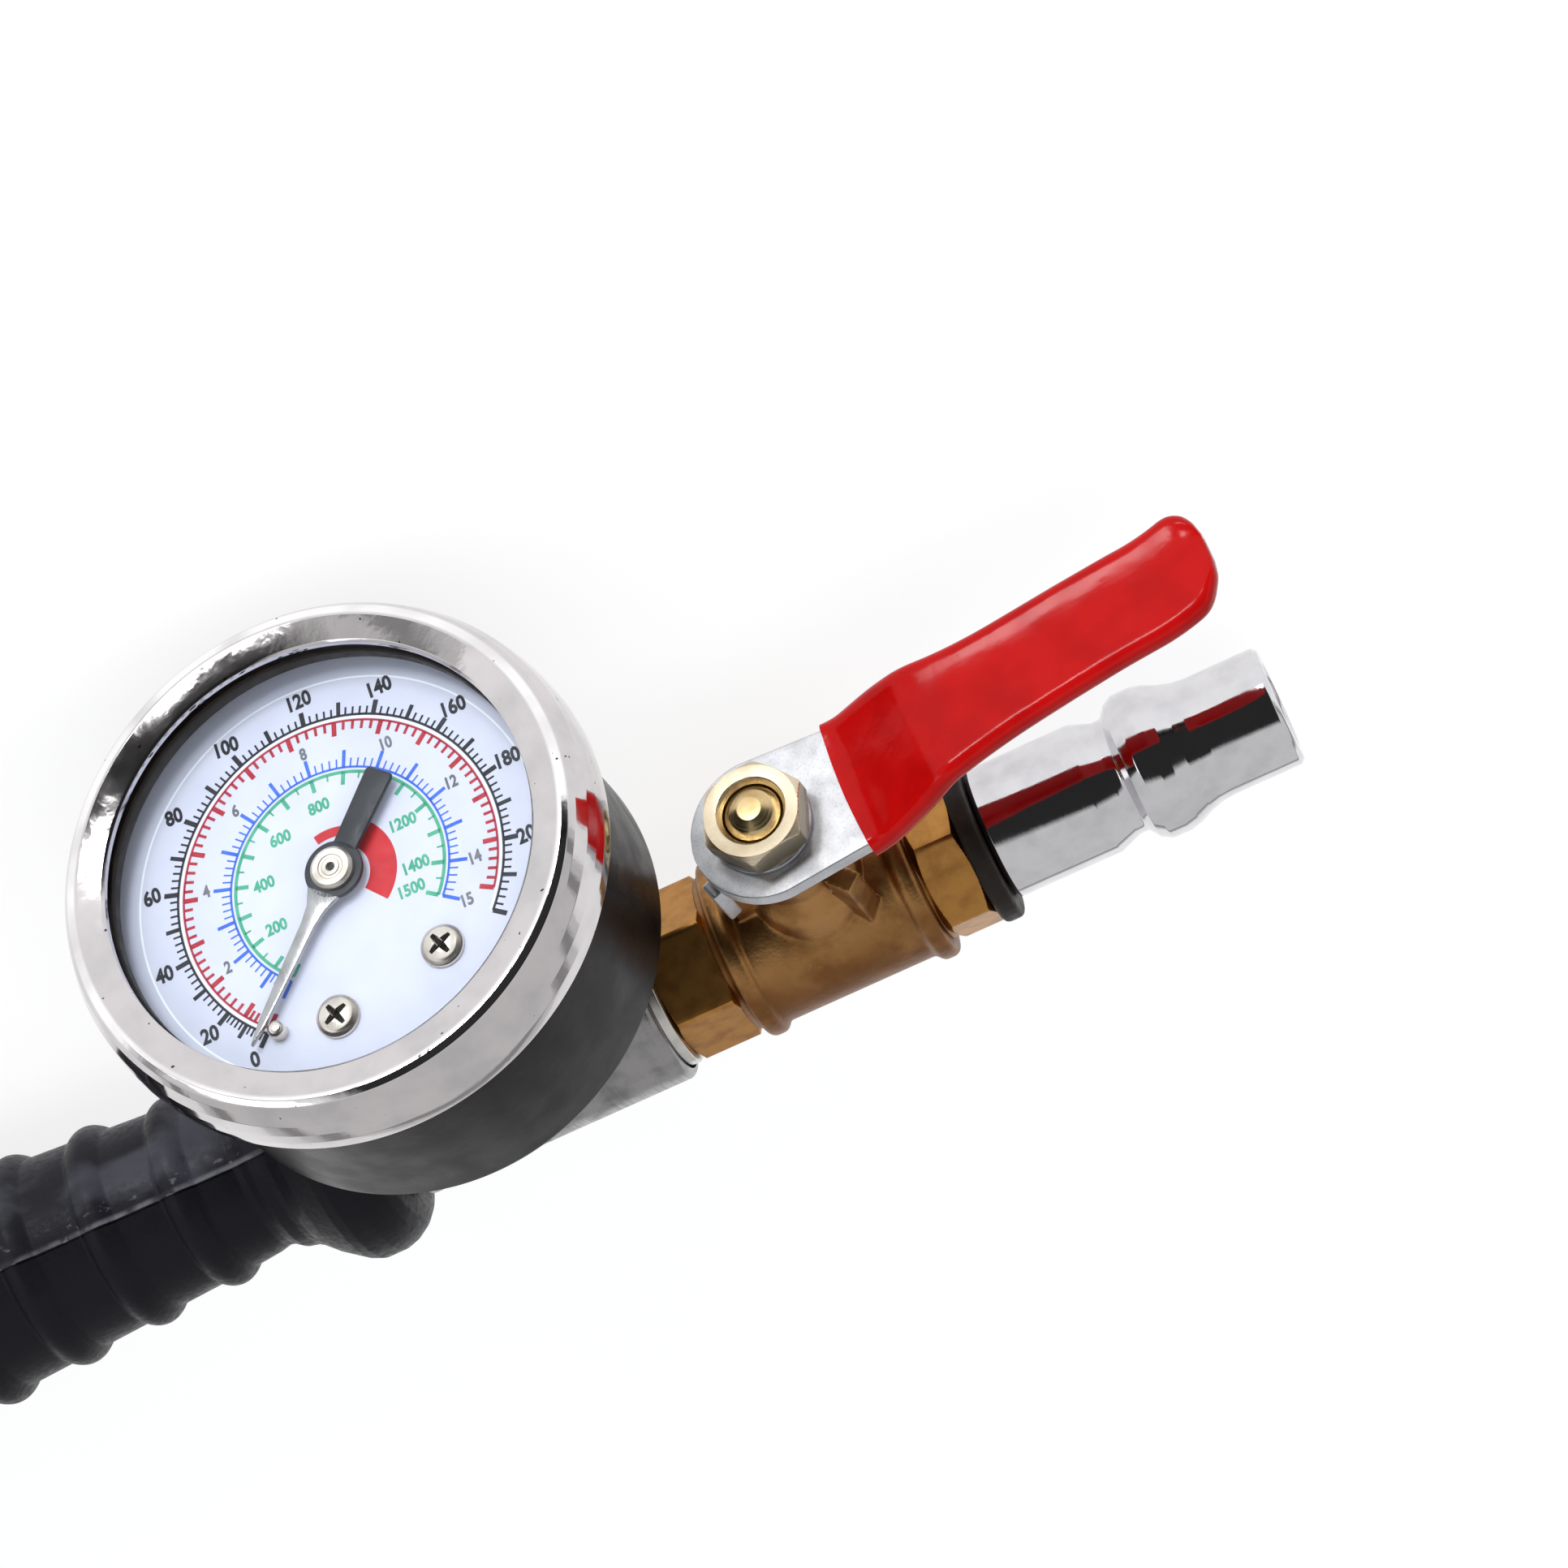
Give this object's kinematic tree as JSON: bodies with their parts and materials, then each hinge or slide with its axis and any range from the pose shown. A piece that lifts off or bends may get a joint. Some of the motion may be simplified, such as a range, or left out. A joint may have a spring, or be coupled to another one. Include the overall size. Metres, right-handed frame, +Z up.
{
  "type": "tire inflator gauge",
  "caption": "In-line tire inflator gauge: rubber grip, tee with dial pressure gauge, lever ball valve and quick-connect air plug.",
  "frame": {"origin": "centre of the inlet socket's open end, on the pipe's axis", "axes": "+X along the pipe from the inlet to the air plug; +Y roughly out of the dial, +Z up as it lies on a table"},
  "size_m": [0.2128, 0.0764, 0.0581],
  "materials": {
    "tee_nickel": "satin nickel",
    "nickel": "nickel plated",
    "grip_rubber": "matte charcoal",
    "seal_rubber": "black",
    "chrome_plate": "polished plating",
    "brass_casting": "forged, hexagons machined",
    "ball_chrome": "polished",
    "seat_plastic": "white low-friction plastic",
    "brass_turned": "turned",
    "zinc_steel": "bright zinc plate",
    "red_vinyl": "glossy dipped vinyl",
    "yellow_zinc": "yellow zinc plate",
    "case_paint": "black semi-gloss",
    "bezel_chrome": "polished plating",
    "glass": "clear",
    "dial_face": "printed white",
    "screw_steel": "plain",
    "pointer_paint": "matte black",
    "hub_brass": "turned",
    "tube_bronze": "drawn bronze",
    "movement_brass": "stamped"
  },
  "bodies": {
    "base": {"tee_block": "tee_nickel", "valve_nipple": "nickel", "core_tube": "nickel", "grip": "grip_rubber", "sealing_ring": "seal_rubber", "air_plug": "chrome_plate", "valve_body": "brass_casting", "valve_end": "brass_casting", "ball_seats": "seat_plastic", "case": "case_paint", "bezel": "bezel_chrome", "window": "glass", "window_gasket": "seal_rubber", "dial": "dial_face", "dial_screws": "screw_steel", "stop_pin": "screw_steel", "gauge_socket": "brass_turned", "bourdon_tube": "tube_bronze", "tube_tip": "brass_turned", "back_plate": "movement_brass", "front_plate": "movement_brass", "movement_pillars": "movement_brass", "movement_screws": "screw_steel", "dial_posts": "movement_brass", "hairspring": "tube_bronze", "spring_stud": "movement_brass"},
    "lever": {"lever_plate": "zinc_steel", "lever_sleeve": "red_vinyl", "lever_washer": "zinc_steel", "lever_nut": "yellow_zinc", "valve_stem": "brass_turned", "stem_seal": "seal_rubber", "ball": "ball_chrome"},
    "pointer": {"pointer": "pointer_paint", "pointer_hub": "hub_brass", "pinion_shaft": "screw_steel", "spring_collet": "movement_brass"},
    "sector": {"sector_gear": "movement_brass", "sector_arbor": "screw_steel", "link_pin": "movement_brass"},
    "link": {"link": "movement_brass"}
  },
  "joints": [
    {"name": "lever_turn", "type": "hinge", "parent": "base", "child": "lever", "pos_m": [0.1602, 0.01885, 0.00668], "axis": [0, 0.9426, 0.3338], "range_deg": [0, 90]},
    {"name": "pointer_turn", "type": "hinge", "parent": "base", "child": "pointer", "pos_m": [0.124, 0.04242, 0.01502], "axis": [0, -0.9426, -0.3338], "range_deg": [0, 265.6], "stiffness_Nm_per_rad": 0.0005, "springref_deg": -5.73},
    {"name": "sector_turn", "type": "hinge", "parent": "base", "child": "sector", "pos_m": [0.1165, 0.03082, 0.0247], "axis": [0, -0.9426, -0.3338], "range_deg": [-29.71, 0]},
    {"name": "link_turn", "type": "hinge", "parent": "sector", "child": "link", "pos_m": [0.11883, 0.03324, 0.02086], "axis": [0, -0.9426, -0.3338], "range_deg": [0, 29.71]}
  ],
  "couplings": [
    {"joint": "sector_turn", "follows": "pointer_turn", "ratio": -0.11111},
    {"joint": "link_turn", "follows": "pointer_turn", "ratio": 0.11111}
  ]
}
